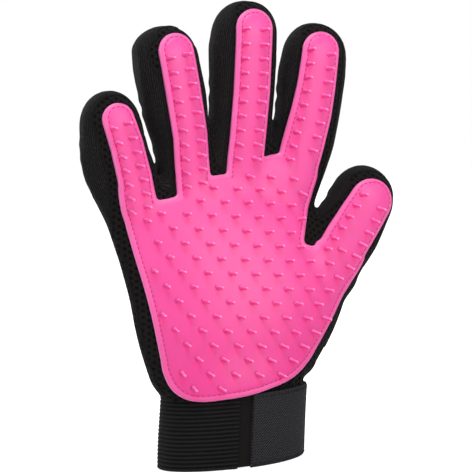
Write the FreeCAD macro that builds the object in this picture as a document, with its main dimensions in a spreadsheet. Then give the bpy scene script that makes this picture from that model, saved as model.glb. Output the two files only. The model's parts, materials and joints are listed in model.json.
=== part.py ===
"""Pet grooming glove, right hand, palm side toward -Y.

The glove stands on the rim of its cuff.  The origin is the centre of the wrist
opening, +Z runs up to the fingers, +X points to the thumb side and the rubber
pad faces -Y.  All lengths are millimetres and all angles are degrees.

Each digit is a fabric tube in two segments.  A segment is drawn in the frame of
the hinge at its lower end: local X is the crease, local Z runs along the digit
and the outer face of the rubber lies on local y = 0.
"""

import FreeCAD, Part
import math
import os

from FreeCAD import Placement, Rotation, Vector

OUT = "parts"
DIGITS = ("little", "ring", "middle", "index", "thumb")
AXIS_X = Vector(1, 0, 0)
AXIS_Y = Vector(0, 1, 0)
AXIS_Z = Vector(0, 0, 1)

# Angles up the dome of a fingertip, and how much fuller its depth stays.
DOME_ANGLES = (0, 16, 31, 44, 56, 66, 75, 82)
DOME_BULGE = 0.9

# Half the span of the boxes that only trim, beyond any face they could meet, and
# how far a strip outline runs past the ends that trim it.
FAR = 60
OVERRUN = 10

# Driving dimensions shared by the whole glove.
COMMON = {
    "fabric": 1.2,
    "pad_thickness": 1.6,
    "pad_half_width": 9.6,
    "hinge_gap": 0.3,
    "bend_back_angle": 10.5,
    "front_share": 0.42,
    "nub_height": 5.0,
    "nub_base_radius": 1.2,
    "nub_tip_radius": 0.7,
    "nub_sink": 0.8,
    "nub_column": 4.4,
    "nub_row": 7.4,
    "nub_free_zone": 6.8,
    "palm_nub_pitch": 13.0,
    "palm_nub_slope": 0.06,
    "palm_nub_edge": 5.0,
    "palm_nub_front": -8.0,
    "palm_split": -6.0,
    "tip_margin": 6.5,
    "cuff_height": 37.0,
    "cuff_half_width": 39.5,
    "cuff_half_depth": 22.0,
    "cuff_drift": 3.7,
    "elastic": 1.6,
    "lining": 0.8,
    "elastic_end": -5.0,
    "tab_end": 2.0,
    "tab_layer": 1.1,
    "tab_gap": 0.1,
    "hook_margin": 2.5,
}

# Driving dimensions of each digit.  The knuckle is the centre of the tube at the
# web, splay and lean aim the hinge frame, and a drift is the sideways run of the
# tube per millimetre of length.
DIGIT_COLUMNS = (
    "knuckle_x", "knuckle_y", "knuckle_z", "splay", "lean", "hinge_roll", "root_length",
    "root_drift", "lower_length", "lower_drift", "upper_length", "upper_drift",
    "root_half", "knuckle_half", "middle_half", "depth",
)
DIGIT_TABLE = {
    "little": (-48.5, -1, 146, -6, 8, 0, 30, -0.22, 19.8, -0.18, 28.9, -0.03, 13.5, 14.0, 14.6, 11.2),
    "ring": (-18.8, -1, 159, -3.8, 8, 0, 36, -0.05, 26.4, -0.067, 40.6, -0.05, 13.8, 13.8, 15.4, 12.0),
    "middle": (10.5, -1, 164, 3, 8, 0, 40, 0.03, 27.3, 0.051, 46.5, 0.045, 13.8, 13.8, 15.4, 12.0),
    "index": (46, -1, 162, 6, 8, 0, 40, 0.25, 24.6, 0.10, 39.8, 0.01, 15.0, 15.4, 16.0, 12.0),
    "thumb": (62, -4, 105.5, 32, 7, -15, 32, 0.10, 22.3, 0, 26.5, -0.03, 16.5, 16.0, 15.6, 12.3),
}

# Stations of the palm from the wrist to the finger roots: height, centre x,
# centre y, half width and half depth.
PALM_COLUMNS = ("height", "centre_x", "centre_y", "half_width", "half_depth")
PALM_TABLE = {
    "wrist": (37, 3.2, 0, 38.5, 20.5),
    "heel": (52, 5.0, -1, 47.0, 20.0),
    "ball": (75, 8.0, -2, 57.0, 18.8),
    "centre": (100, 5.0, -1.5, 58.0, 16.8),
    "roots": (122, -2.4, 0, 57.2, 14.4),
    "crown": (140, -4.0, 1.2, 58.0, 12.0),
}

# Fabric webs between the finger roots: centre x and top of each, then the half
# width, half depth and lower end that they share.
WEBS = {"little_ring": (-34.0, 145.3), "ring_middle": (-4.2, 157.5), "middle_index": (27.5, 160.0)}
WEB_HALF_WIDTH = 4.0
WEB_HALF_DEPTH = 8.0
WEB_FLOOR = 132.0

# How far a root strip stops short of its tube and runs past its crease, and the
# clearance that the palm leaves beside the thumb.
ROOT_STRIP_SHORT = 4
ROOT_STRIP_PAST = 5
THUMB_CLEARANCE = 2

# The palm rubber in the x, z plane.  The heel is two arcs; a run is straight.
PAD_LEFT = ((-55.5, 142), (-47.0, 100), (-38.5, 52))
PAD_HEEL_LEFT = ((-38.5, 52), (-31.5, 38.8), (-16, 37.2))
PAD_HEEL_RIGHT = ((-16, 37.2), (14, 39.0), (36.5, 49.5))
PAD_RIGHT = ((36.5, 49.5), (52, 71), (66, 91.5))
PAD_TOP = ((66, 91.5), (46, 100), (50, 146), (40, 153), (-22, 151), (-55.5, 142))
PAD_PRISM_DEPTH = 45

# Nubs of the palm: rows up from the heel and columns to both sides of centre.
PALM_NUB_ROWS = 17
PALM_NUB_COLUMNS = range(-5, 7)
PALM_NUB_START = (-2.0, 44.5)

doc = FreeCAD.newDocument("grooming_glove")
sheet = doc.addObject("Spreadsheet::Sheet", "Dimensions")
values = {}


def fill_sheet():
    rows = dict(COMMON)
    for digit, numbers in DIGIT_TABLE.items():
        for column, number in zip(DIGIT_COLUMNS, numbers):
            rows[f"{digit}_{column}"] = number
    for station, numbers in PALM_TABLE.items():
        for column, number in zip(PALM_COLUMNS, numbers):
            rows[f"palm_{station}_{column}"] = number
    for line, (word, number) in enumerate(rows.items(), start=1):
        sheet.set(f"A{line}", word)
        sheet.set(f"B{line}", str(number))
        sheet.setAlias(f"B{line}", word)
        values[word] = float(number)
    doc.recompute()


def cell(word):
    return f"Dimensions.{word}"


def bind(item, **expressions):
    for name, text in expressions.items():
        item.setExpression(name, text)


def bind_base(item, x, y, z):
    for axis, text in (("x", x), ("y", y), ("z", z)):
        item.setExpression(f"Placement.Base.{axis}", text)


# ---------------------------------------------------------------- solid helpers


def ellipse(name, half_width, half_depth, x, y, z, roll=0.0):
    item = doc.addObject("Part::Ellipse", name)
    item.Placement = Placement(Vector(), Rotation(AXIS_Z, roll))
    bind(item, MajorRadius=half_width, MinorRadius=half_depth)
    bind_base(item, x, y, z)
    return item


def loft(name, sections, ruled=False):
    item = doc.addObject("Part::Loft", name)
    item.Sections = sections
    item.Solid = True
    item.Ruled = ruled
    return item


def box(name, low, high, place=Placement()):
    item = doc.addObject("Part::Box", name)
    item.Length = high[0] - low[0]
    item.Width = high[1] - low[1]
    item.Height = high[2] - low[2]
    item.Placement = place.multiply(Placement(Vector(*low), Rotation()))
    return item


def cut(name, base, tool):
    item = doc.addObject("Part::Cut", name)
    item.Base = base
    item.Tool = tool
    item.Refine = False
    return item


def joined(name, shapes):
    item = doc.addObject("Part::MultiFuse", name)
    item.Shapes = shapes
    item.Refine = False
    return item


def shared(name, shapes):
    item = doc.addObject("Part::MultiCommon", name)
    item.Shapes = shapes
    item.Refine = False
    return item


def finish(item, place=Placement()):
    """Makes an object one of the exported sub-parts, set in the glove's frame."""
    item.Label = item.Name
    item.Placement = place
    NODES.append(item)
    return item


NODES = []


# ---------------------------------------------------------------------- digits


def digit_turn(digit):
    splay = Rotation(AXIS_Y, values[f"{digit}_splay"])
    lean = Rotation(AXIS_X, values[f"{digit}_lean"])
    roll = Rotation(AXIS_Z, values[f"{digit}_hinge_roll"])
    return splay * lean * roll


def reach(digit):
    """Distance from the centre of the tube to the crease on the rubber face."""
    roll = math.radians(values[f"{digit}_hinge_roll"])
    wide = values[f"{digit}_knuckle_half"] * math.sin(roll)
    deep = values[f"{digit}_depth"] * math.cos(roll)
    return math.hypot(wide, deep) + values["pad_thickness"]


def knuckle_place(digit):
    centre = Vector(*[values[f"{digit}_knuckle_{axis}"] for axis in "xyz"])
    turn = digit_turn(digit)
    return Placement(centre + turn.multVec(Vector(0, -reach(digit), 0)), turn)


def middle_place(digit):
    length = values[f"{digit}_lower_length"]
    step = Vector(length * values[f"{digit}_lower_drift"], 0, length)
    return knuckle_place(digit).multiply(Placement(step, Rotation()))


def tube(name, digit, stations, drift, grow):
    """Lofts a tube.  A station is (height, half width, share of the full size,
    share of the wall that is added to the height)."""
    roll = -values[f"{digit}_hinge_roll"]
    centre = f"{reach(digit):.4f}"
    sections = []
    for number, (height, half_width, share, lift) in enumerate(stations):
        sections.append(ellipse(
            f"{name}_section_{number}",
            f"({half_width}) * {share:.4f} + {grow}",
            f"{cell(digit + '_depth')} * {share ** DOME_BULGE:.4f} + {grow}",
            f"({height}) * {cell(drift)}",
            centre,
            f"{height} + {lift:.4f} * {grow}",
            roll,
        ))
    return loft(name, sections, ruled=True)


def tube_layers(name, digit, stations, drift, hollow=None):
    """The inner face, the outer face and the rubber face of one stretch."""
    wall = f"(0 - {cell('fabric')})"
    return (
        tube(f"{name}_inner_face", digit, hollow or stations, drift, wall),
        tube(f"{name}_outer_face", digit, stations, drift, "0"),
        tube(f"{name}_rubber_face", digit, stations, drift, cell("pad_thickness")),
    )


def lower_stations(digit):
    length = cell(f"{digit}_lower_length")
    knuckle = cell(f"{digit}_knuckle_half")
    middle = cell(f"{digit}_middle_half")
    return (
        ("0 - 1", knuckle, 1, 0),
        (f"{length} * 0.5", f"({knuckle} + {middle}) / 2", 1, 0),
        (f"{length} + 1", middle, 1, 0),
    )


def upper_stations(digit):
    """The tube stays full to the start of the dome and closes on a round dome."""
    length = cell(f"{digit}_upper_length")
    middle = cell(f"{digit}_middle_half")
    stations = [("0 - 1", middle, 1, 0), (f"({length} - {middle}) / 2", middle, 1, 0)]
    for angle in DOME_ANGLES:
        rise = math.sin(math.radians(angle))
        share = math.cos(math.radians(angle))
        stations.append((f"{length} - {middle} * {1 - rise:.4f}", middle, share, rise))
    return stations


def root_stations(digit, top):
    """The root tube ends on the plane of the knuckle crease; its hollow runs on."""
    length = cell(f"{digit}_root_length")
    root = cell(f"{digit}_root_half")
    return ((f"0 - {length}", root, 1, 0), (top, cell(f"{digit}_knuckle_half"), 1, 0))


def crease_box(name, top):
    """Space of a segment above its own crease, opened toward the back of the
    hand so that the segment can bend back without meeting its neighbour."""
    tilt = Placement(Vector(), Rotation(AXIS_X, values["bend_back_angle"]))
    return box(name, (-FAR, -FAR / 3, values["hinge_gap"]), (FAR, FAR, top + FAR / 2), tilt)


def segment_space(name, digit, segment):
    length = values[f"{digit}_{segment}_length"]
    above = crease_box(f"{name}_above_crease", length)
    if segment == "upper":
        return above
    below = box(f"{name}_below_next_crease", (-FAR, -FAR / 3, -5), (FAR, FAR, length))
    return shared(f"{name}_space", [above, below])


def strip_outline(name, digit, segment):
    """Prism in the outline of the rubber strip, with a round end at the tip."""
    half = values["pad_half_width"]
    roll = Placement(Vector(0, reach(digit), 0), Rotation(AXIS_Z, -values[f"{digit}_hinge_roll"]))
    drift = math.degrees(math.atan(values[f"{digit}_{segment}_drift"]))
    place = roll.multiply(Placement(Vector(), Rotation(AXIS_Y, drift)))
    length = values[f"{digit}_{segment}_length"]
    if segment == "lower":
        return box(name, (-half, -FAR / 2, -OVERRUN), (half, 0, length + OVERRUN), place)
    end = length - half - values["tip_margin"]
    bar = box(f"{name}_bar", (-half, -FAR / 2, -OVERRUN), (half, 0, end), place)
    tip = doc.addObject("Part::Cylinder", f"{name}_tip")
    tip.Radius = half
    tip.Height = FAR / 2
    tip.Placement = place.multiply(Placement(Vector(0, 0, end), Rotation(AXIS_X, 90)))
    return joined(name, [bar, tip])


def cone(name, point, direction):
    """A blunt peg standing on the rubber, with its root sunk in the rubber."""
    sink = values["nub_sink"]
    item = doc.addObject("Part::Cone", name)
    bind(
        item,
        Radius1=cell("nub_base_radius"),
        Radius2=cell("nub_tip_radius"),
        Height=f"{cell('nub_height')} + {cell('nub_sink')}",
    )
    item.Placement = Placement(point - direction * sink, Rotation(AXIS_Z, direction))
    return item


def digit_nubs(name, digit, segment):
    """Two columns of nubs along the strip, clear of the creases and the dome."""
    length = values[f"{digit}_{segment}_length"]
    half = values[f"{digit}_middle_half"] + values["pad_thickness"]
    deep = values[f"{digit}_depth"] + values["pad_thickness"]
    roll = Rotation(AXIS_Z, -values[f"{digit}_hinge_roll"])
    free = values["nub_free_zone"]
    last = length - (free if segment == "lower" else values[f"{digit}_middle_half"])
    rows = max(1, int((last - free) / values["nub_row"]) + 1)
    start = (last + free - (rows - 1) * values["nub_row"]) / 2 if segment == "lower" else free
    cones = []
    for row in range(rows):
        height = start + row * values["nub_row"]
        for side in (-1, 1):
            across = side * values["nub_column"]
            depth = deep * math.sqrt(1 - (across / half) ** 2)
            normal = roll.multVec(Vector(across / half ** 2, -depth / deep ** 2, 0)).normalize()
            foot = roll.multVec(Vector(across, -depth, 0))
            drift = height * values[f"{digit}_{segment}_drift"]
            point = foot + Vector(drift, reach(digit), height)
            cones.append(cone(f"{name}_nub_{row}_{'left' if side < 0 else 'right'}", point, normal))
    return cones


def make_segment(digit, segment, place):
    """The mesh front, the knitted back and the rubber strip of one segment."""
    name = f"{digit}_{segment}"
    stations = lower_stations(digit) if segment == "lower" else upper_stations(digit)
    inner, outer, rubber = tube_layers(name, digit, stations, f"{digit}_{segment}_drift")
    space = segment_space(name, digit, segment)
    wall = cut(f"{name}_wall", outer, inner)
    split = reach(digit) - values[f"{digit}_depth"] * values["front_share"]
    front_half = box(f"{name}_front_half", (-FAR, -FAR, -FAR), (FAR, split, 2 * FAR))
    back_half = box(f"{name}_back_half", (-FAR, split, -FAR), (FAR, FAR, 2 * FAR))
    finish(shared(f"{name}_front", [wall, front_half, space]), place)
    finish(shared(f"{name}_back", [wall, back_half, space]), place)
    layer = cut(f"{name}_rubber_layer", rubber, outer)
    outline = strip_outline(f"{name}_strip_outline", digit, segment)
    sheet_part = shared(f"{name}_rubber_strip", [layer, outline, space])
    finish(joined(f"{name}_pad", [sheet_part] + digit_nubs(name, digit, segment)), place)


# ------------------------------------------------------------------------ palm


def palm_layer(name, grow):
    sections = []
    for station in PALM_TABLE:
        word = f"palm_{station}_"
        sections.append(ellipse(
            f"{name}_{station}",
            f"{cell(word + 'half_width')} + {grow}",
            f"{cell(word + 'half_depth')} + {grow}",
            cell(word + "centre_x"),
            cell(word + "centre_y"),
            cell(word + "height") + (f" + {grow}" if station == "crown" else ""),
        ))
    return loft(name, sections)


def web_blocks():
    """Fabric webs that join the finger roots between the knuckles."""
    blocks = []
    for word, (centre, top) in WEBS.items():
        low = (centre - WEB_HALF_WIDTH, -WEB_HALF_DEPTH, WEB_FLOOR)
        high = (centre + WEB_HALF_WIDTH, WEB_HALF_DEPTH, top)
        blocks.append(box(f"web_{word}", low, high))
    return blocks


def pad_outline():
    """Prism in the outline of the palm rubber, from the heel to the knuckles."""
    body = doc.addObject("PartDesign::Body", "palm_pad_outline")
    sketch = body.newObject("Sketcher::SketchObject", "palm_pad_outline_sketch")
    plane = [item for item in body.Origin.OriginFeatures if item.Role == "XZ_Plane"][0]
    sketch.AttachmentSupport = [(plane, "")]
    sketch.MapMode = "FlatFace"
    for curve in (PAD_HEEL_LEFT, PAD_HEEL_RIGHT):
        sketch.addGeometry(Part.Arc(*[Vector(x, z, 0) for x, z in curve]), False)
    for run in (PAD_LEFT, PAD_RIGHT, PAD_TOP):
        for first, second in zip(run, run[1:]):
            sketch.addGeometry(Part.LineSegment(Vector(*first, 0), Vector(*second, 0)), False)
    pad = body.newObject("PartDesign::Pad", "palm_pad_outline_prism")
    pad.Profile = sketch
    pad.Length = PAD_PRISM_DEPTH
    body.Tip = pad
    return body


def root_strip(digit):
    """The rubber strip of a digit carried down past the knuckle to the palm."""
    half = values["pad_half_width"]
    length = values[f"{digit}_root_length"] - ROOT_STRIP_SHORT
    drift = math.degrees(math.atan(values[f"{digit}_root_drift"]))
    roll = Rotation(AXIS_Z, -values[f"{digit}_hinge_roll"]) * Rotation(AXIS_Y, drift)
    place = knuckle_place(digit).multiply(Placement(Vector(0, reach(digit), 0), roll))
    front = -0.5 * values[f"{digit}_depth"]
    return box(f"{digit}_root_strip", (-half, -FAR / 2, -length), (half, front, ROOT_STRIP_PAST), place)


def face_y(shape, x, z):
    """Front of a solid on the line through (x, z), or None beside the solid."""
    ray = Part.makeLine(Vector(x, -FAR, z), Vector(x, 0, z))
    hit = shape.common(ray)
    if not hit.Vertexes:
        return None
    return min(point.Y for point in hit.Vertexes)


def nub_has_room(x, z, outline, creases):
    """True if a nub keeps clear of the edge of the rubber and of the creases."""
    edge = values["palm_nub_edge"]
    for turn in range(0, 360, 45):
        angle = math.radians(turn)
        probe = Vector(x + edge * math.cos(angle), -FAR / 3, z + edge * math.sin(angle))
        if not outline.isInside(probe, 0.01, True):
            return False
    for place in creases:
        spot = place.inverse().multVec(Vector(x, place.Base.y, z))
        if abs(spot.x) < 2 * values["pad_half_width"] and spot.z > -values["nub_free_zone"]:
            return False
    return True


def palm_nubs(rubber, outline):
    """Staggered rows of nubs that stand square on the rubber of the palm."""
    creases = [knuckle_place(digit) for digit in DIGITS]
    cones = []
    for row in range(PALM_NUB_ROWS):
        for column in PALM_NUB_COLUMNS:
            x = PALM_NUB_START[0] + (column + 0.5 * (row % 2)) * values["palm_nub_pitch"]
            z = PALM_NUB_START[1] + row * values["nub_row"] - x * values["palm_nub_slope"]
            if not nub_has_room(x, z, outline, creases):
                continue
            front = face_y(rubber, x, z)
            if front > values["palm_nub_front"]:
                continue
            right = face_y(rubber, x + 1, z) - front
            up = face_y(rubber, x, z + 1) - front
            normal = Vector(right, -1, up).normalize()
            cones.append(cone(f"palm_nub_{row}_{column + 5}", Vector(x, front, z), normal))
    return cones


def thumb_room():
    """Space above the crease of the thumb, which the palm leaves to the thumb."""
    half = values["thumb_knuckle_half"] + THUMB_CLEARANCE
    return box("thumb_room", (-half, -FAR / 4, 0), (half, FAR, FAR), knuckle_place("thumb"))


def make_palm():
    grow = {"inner": f"(0 - {cell('fabric')})", "outer": "0", "rubber": cell("pad_thickness")}
    parts = {layer: [palm_layer(f"palm_{layer}_face", text)] for layer, text in grow.items()}
    for digit in DIGITS:
        layers = tube_layers(
            f"{digit}_root", digit, root_stations(digit, "0"), f"{digit}_root_drift",
            hollow=root_stations(digit, "2"),
        )
        for layer, item in zip(grow, layers):
            item.Placement = knuckle_place(digit)
            parts[layer].append(item)
    inner = joined("palm_inner_volume", parts["inner"])
    outer = joined("palm_outer_volume", parts["outer"] + web_blocks())
    rubber = joined("palm_rubber_volume", parts["rubber"])
    shell = cut("palm_shell", cut("palm_closed_shell", outer, inner), thumb_room())
    split = values["palm_split"]
    front_half = box("palm_front_half", (-2 * FAR, -FAR, 0), (2 * FAR, split, 4 * FAR))
    back_half = box("palm_back_half", (-2 * FAR, split, 0), (2 * FAR, FAR, 4 * FAR))
    finish(shared("palm_front_panel", [shell, front_half]))
    finish(shared("palm_back_panel", [shell, back_half]))
    outline = joined("palm_pad_space", [pad_outline()] + [root_strip(digit) for digit in DIGITS])
    layer = cut("palm_rubber_layer", rubber, outer)
    sheet_part = shared("palm_rubber_sheet", [layer, outline])
    doc.recompute()
    nubs = palm_nubs(rubber.Shape, outline.Shape)
    finish(joined("palm_pad", [sheet_part] + nubs))


# ------------------------------------------------------------------------ cuff


def oval(name, grow, low, high):
    """Oval column that follows the lean of the cuff between two heights."""
    sections = []
    for number, height in enumerate((low, high)):
        sections.append(ellipse(
            f"{name}_section_{number}",
            f"{cell('cuff_half_width')} + {grow}",
            f"{cell('cuff_half_depth')} + {grow}",
            f"({height}) / {cell('cuff_height')} * {cell('cuff_drift')}",
            "0",
            height,
        ))
    return loft(name, sections, ruled=True)


def ring(name, outside, inside):
    """A layer of the cuff, all the way round and over its whole height."""
    skin = oval(f"{name}_outside", outside, "0", cell("cuff_height"))
    hollow = oval(f"{name}_inside", inside, "0", cell("cuff_height"))
    return cut(name, skin, hollow)


def lean_place():
    """Frame that follows the lean of the cuff up from the wrist opening."""
    tilt = math.degrees(math.atan2(values["cuff_drift"], values["cuff_height"]))
    return Placement(Vector(), Rotation(AXIS_Y, tilt))


def make_cuff():
    """Lining all round, ribbed elastic, and loop tape under the closing tab."""
    elastic = cell("elastic")
    inner_skin = f"(0 - {elastic})"
    finish(ring("cuff_lining", inner_skin, f"(0 - {elastic} - {cell('lining')})"))
    band = ring("cuff_band", "0", inner_skin)
    end = values["elastic_end"]
    window = box("loop_window", (end, -FAR, -5), (2 * FAR, 0, FAR), lean_place())
    finish(cut("cuff_elastic", band, window))
    finish(shared("cuff_loop_patch", [band, window]))


def make_tab():
    """Closing tab: hook tape on the inside of a twill backing."""
    gap = values["tab_gap"]
    layer = cell("tab_layer")
    margin = values["hook_margin"]
    place = lean_place()
    backing = ring("tab_backing_band", f"{gap} + 2 * {layer}", f"{gap} + {layer}")
    window = box("tab_window", (values["tab_end"], -FAR, -5), (2 * FAR, -0.05, FAR), place)
    finish(shared("tab_backing", [backing, window]))
    hook = ring("tab_hook_band", f"{gap} + {layer}", f"{gap}")
    inner = box(
        "hook_window",
        (values["tab_end"] + margin, -FAR, margin),
        (values["cuff_half_width"] * 0.9, -1, values["cuff_height"] - margin),
        place,
    )
    finish(shared("tab_hook_patch", [hook, inner]))


# ---------------------------------------------------------------------- export


def check_and_export():
    doc.recompute()
    wrong = []
    for item in doc.Objects:
        if "Invalid" in item.State or "Error" in item.State:
            wrong.append(f"{item.Name} is {item.State}")
        elif item in NODES and (item.Shape.isNull() or not item.Shape.isValid()):
            wrong.append(f"{item.Name} has a bad shape")
    for item in NODES:
        if not item.Shape.isNull() and len(item.Shape.Solids) != 1:
            wrong.append(f"{item.Name} has {len(item.Shape.Solids)} solids")
    if wrong:
        raise SystemExit("\n".join(wrong))
    os.makedirs(OUT, exist_ok=True)
    for item in NODES:
        item.Shape.exportStep(f"{OUT}/{item.Name}.step")


def build():
    fill_sheet()
    for digit in DIGITS:
        make_segment(digit, "lower", knuckle_place(digit))
        make_segment(digit, "upper", middle_place(digit))
    make_palm()
    make_cuff()
    make_tab()
    check_and_export()


build()
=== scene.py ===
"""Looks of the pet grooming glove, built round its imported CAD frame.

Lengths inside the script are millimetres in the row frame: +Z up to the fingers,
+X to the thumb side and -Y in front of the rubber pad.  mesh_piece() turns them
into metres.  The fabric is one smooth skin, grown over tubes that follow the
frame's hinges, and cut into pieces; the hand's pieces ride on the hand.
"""

import json
import math

import bmesh
import bpy
import numpy as np
from mathutils import Matrix, Vector
from mathutils.bvhtree import BVHTree
from mathutils.geometry import delaunay_2d_cdt


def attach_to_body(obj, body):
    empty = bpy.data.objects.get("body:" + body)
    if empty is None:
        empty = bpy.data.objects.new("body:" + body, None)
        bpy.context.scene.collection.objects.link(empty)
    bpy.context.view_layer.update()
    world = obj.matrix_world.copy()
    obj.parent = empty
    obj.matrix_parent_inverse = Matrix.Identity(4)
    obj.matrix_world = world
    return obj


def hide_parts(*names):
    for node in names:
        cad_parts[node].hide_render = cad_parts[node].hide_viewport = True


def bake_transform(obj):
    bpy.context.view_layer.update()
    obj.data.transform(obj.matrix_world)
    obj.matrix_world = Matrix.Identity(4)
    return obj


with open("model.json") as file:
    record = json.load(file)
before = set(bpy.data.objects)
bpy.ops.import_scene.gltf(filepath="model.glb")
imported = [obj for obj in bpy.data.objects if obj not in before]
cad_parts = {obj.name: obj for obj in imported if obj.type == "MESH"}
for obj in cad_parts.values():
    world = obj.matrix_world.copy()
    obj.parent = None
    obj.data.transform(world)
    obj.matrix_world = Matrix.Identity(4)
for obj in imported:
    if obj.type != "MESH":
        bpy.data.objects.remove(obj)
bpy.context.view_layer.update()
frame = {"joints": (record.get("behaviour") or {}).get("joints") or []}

MM = 0.001

# ------------------------------------------------------------- driving sizes

SKIN_GRAIN = 1.15
PAD_THICK = 1.7
PAD_GRAIN = 1.3
SWELL = 2.3
SWELL_START = 36.0
SWELL_FADE = 24.0
NUB_HEIGHT = 5.2
NUB_BASE = 1.02
NUB_TIP = 0.84
NUB_LEAN = 0.30
NUB_DROOP = 0.15
NUB_FLATTEN = 0.8
DROOP_START = 140.0
DROOP_FADE = 50.0
PALM_NUB_START = (5.4, 105.2)
PALM_NUB_COLUMN = 12.3
PALM_NUB_ROW = 7.2
STITCH_INSET = 2.9
STITCH_NARROWING = 0.9
STITCH_PERIOD = 2.5
CUT_BELOW_KNUCKLE = 9.5
BEND_HALF = 8.0

# How far out from its centre a digit owns the skin, in half widths.  The thumb
# stops short on its inner side, so that it takes nothing from the index finger.
DIGIT_SHARE = 1.3
THUMB_INNER_SHARE = 1.08
CUFF_HEIGHT = 37.0
CUFF_DRIFT = 3.7
CUFF_WIDE = 39.5
CUFF_DEEP = 22.0
ELASTIC_RIBS = 18

# Fabric tube of each digit: distance from crease to centre, roll of the section,
# root length and drift, lower drift, upper length and drift, half depth and the
# length of the round tip.
TUBE_FIELDS = (
    "reach", "roll", "root", "root_drift", "lower_drift", "upper", "upper_drift", "deep", "dome",
)
TUBES = {
    "little": (12.8, 0, 30, -0.22, -0.18, 28.9, -0.03, 11.6, 20),
    "ring": (13.6, 0, 36, -0.05, -0.067, 40.6, -0.05, 12.3, 18),
    "middle": (13.6, 0, 40, 0.03, 0.051, 46.5, 0.045, 12.3, 19),
    "index": (13.6, 0, 40, 0.25, 0.10, 39.8, 0.01, 12.3, 18.5),
    "thumb": (14.1, 15, 34, 0.10, 0.0, 26.5, -0.03, 12.6, 20.5),
}

# Half widths of each tube: height over its knuckle, left half and right half.
HALF_WIDTHS = {
    "little": ((-30, 15.5, 14.0), (-6, 18.5, 15.0), (8, 19.8, 17.0), (20, 18.4, 16.3), (29, 17.0, 15.0)),
    "ring": (
        (-36, 14.0, 14.5), (-6, 13.3, 14.5), (8, 14.2, 15.3), (20, 16.6, 17.0), (32, 18.3, 17.1),
        (44, 20.8, 15.8),
        (49, 20.4, 15.3),
    ),
    "middle": (
        (-40, 15.0, 16.0), (-6, 15.0, 17.3), (8, 15.0, 18.7), (26, 15.9, 18.6), (38, 17.4, 18.3),
        (50, 18.9, 17.2),
        (55, 18.0, 17.0),
    ),
    "index": (
        (-40, 16.0, 18.8), (-10, 16.0, 19.4), (14, 15.9, 19.4), (26, 17.3, 19.0), (38, 17.4, 19.5),
        (46, 16.2, 18.6),
    ),
    "thumb": ((-34, 17.6, 20.0), (-10, 18.0, 20.9), (-3, 18.0, 18.2), (14, 18.3, 19.8), (28, 18.0, 18.1)),
}
FINGER_GAP = 1.7
TIP_GAP = 1.9
TIP_GAP_START = 170.0
TIP_GAP_REACH = 12.0

# Where the front of the skin is smoothed most: the finger roots and the thumb's.
ROOT_HEIGHT = 144.0
ROOT_REACH = 20.0
ROOT_RIGHT = 40.0
THUMB_ROOT = (54.0, 98.0)

# Palm from the wrist to the finger roots: height, left edge, right edge, centre
# of the depth and half depth.
PALM = (
    (33.0, -35.5, 39.4, 0.0, 20.4),
    (38.0, -37.7, 40.6, 0.0, 20.6),
    (44.0, -41.0, 46.8, -0.3, 20.6),
    (52.0, -43.5, 52.8, -0.8, 20.4),
    (64.0, -46.5, 60.0, -1.6, 19.8),
    (75.0, -48.8, 65.4, -2.0, 19.0),
    (82.0, -49.8, 67.6, -1.9, 18.5),
    (89.0, -51.0, 69.6, -1.7, 17.9),
    (97.0, -52.6, 66.0, -1.4, 17.2),
    (108.0, -54.8, 62.0, -0.8, 16.2),
    (124.0, -59.2, 56.4, 0.2, 14.6),
    (131.0, -60.8, 53.0, 0.6, 13.6),
    (138.0, -62.0, 46.0, 1.0, 12.4),
    (148.0, -48.0, 36.0, 2.4, 9.0),
)

# Webs of fabric between neighbours: centre and radii.
WEBS = (
    ((-34.0, 0.0, 132.0), (8.0, 11.5, 17.0)),
    ((-4.6, -0.5, 142.0), (8.0, 12.5, 19.0)),
    ((28.5, 0.2, 146.0), (10.0, 11.8, 18.0)),
    ((30.8, 0.5, 160.0), (4.0, 6.0, 14.0)),
    ((48.5, -1.0, 104.0), (8.0, 10.5, 16.0)),
)

# Centre line of the rubber strip on each digit: x, z and half width, tip first.
STRIPS = {
    "little": ((-55.2, 178.4, 8.0), (-51.0, 164.9, 8.5), (-47.3, 149.4, 8.8), (-44.9, 135.0, 9.2)),
    "ring": (
        (-24.6, 210.6, 9.0), (-21.5, 193.0, 9.1), (-17.7, 169.0, 9.0), (-16.3, 150.2, 8.9),
        (-16.1, 140.0, 9.0),
    ),
    "middle": ((17.2, 221.4, 9.6), (15.6, 189.8, 9.7), (13.2, 164.7, 9.6), (11.6, 148.0, 10.0)),
    "index": (
        (53.7, 209.5, 9.7), (51.1, 191.0, 10.3), (48.6, 177.8, 10.8), (44.6, 162.7, 10.9),
        (39.4, 146.0, 11.2),
    ),
    "thumb": ((78.1, 130.5, 11.8), (73.0, 123.1, 12.2), (65.8, 112.5, 12.5), (57.0, 98.3, 12.7)),
}

# Outline of the palm rubber, as points of a closed round curve.
PALM_OUTLINE = (
    (-55.4, 145.0), (-50.4, 118.1), (-44.0, 89.1), (-39.1, 59.4), (-37.4, 51.0), (-33.7, 43.4),
    (-27.5, 38.0),
    (-20.0, 36.2), (-9.0, 36.3), (3.7, 37.1), (13.8, 39.0), (26.0, 42.6), (36.0, 48.6),
    (45.3, 58.2), (61.3, 80.5),
    (74.0, 100.0), (69.0, 104.5), (57.0, 112.0), (49.4, 111.6), (47.0, 109.3), (43.7, 109.7), (41.3, 111.7),
    (42.9, 117.7), (49.8, 138.6), (51.6, 147.8), (47.0, 156.4), (35.4, 157.9), (24.8, 157.2), (13.6, 153.2),
    (4.6, 149.4), (-1.2, 148.8), (-6.2, 148.4), (-10.4, 148.0), (-17.0, 143.0), (-24.4, 139.7),
    (-28.4, 138.5),
    (-34.8, 137.8), (-38.4, 138.6), (-45.0, 142.0),
)

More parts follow.
